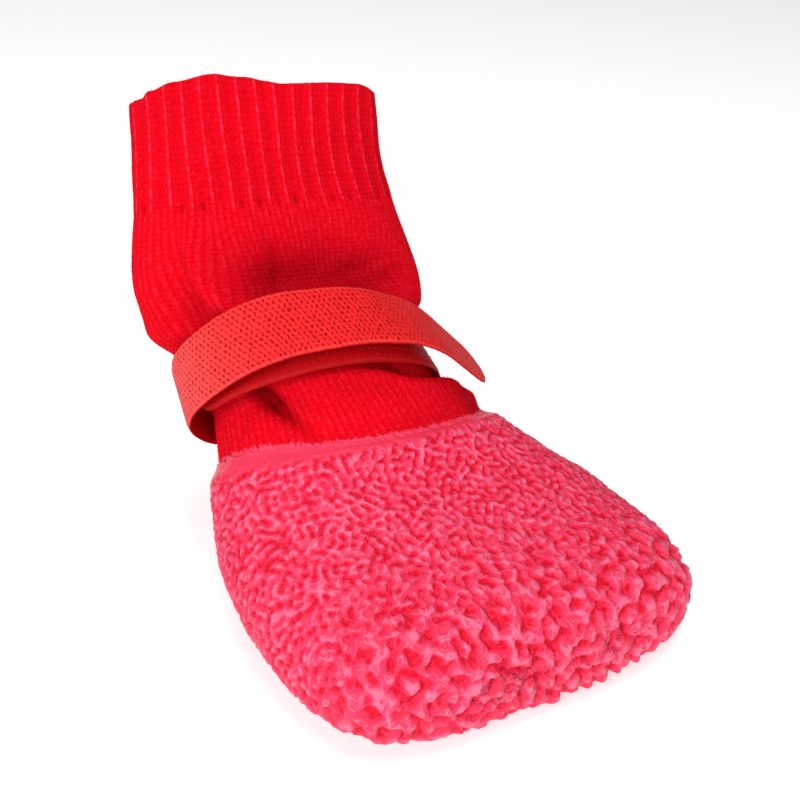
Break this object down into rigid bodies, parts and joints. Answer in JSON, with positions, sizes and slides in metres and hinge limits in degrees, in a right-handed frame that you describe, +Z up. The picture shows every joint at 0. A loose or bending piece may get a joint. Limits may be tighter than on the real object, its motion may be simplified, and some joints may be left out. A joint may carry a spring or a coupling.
{
  "type": "pet sock",
  "caption": "Knitted pet sock with a ribbed cuff, a crinkled latex-dipped foot that is also its sole, and a hook-and-loop ankle strap.",
  "frame": {"origin": "on the plane that the sole stands on, under the rear of the foot, at the mount named sole", "axes": "+Z up, the toe towards -Y, +X to the right of someone who looks from the toe to the heel"},
  "size_m": [0.0865, 0.1017, 0.1008],
  "materials": {
    "red_knit": "fine plain knit with a ribbed cuff, matt and slightly fuzzy",
    "coral_latex": "crinkled latex skin, satin, with a smooth band at its rim",
    "coral_tape": "woven hook-and-loop tape with a fine dimpled face"
  },
  "bodies": {
    "root": {"knit_sock": "red_knit", "latex_foot": "coral_latex", "strap": "coral_tape"}
  },
  "joints": []
}
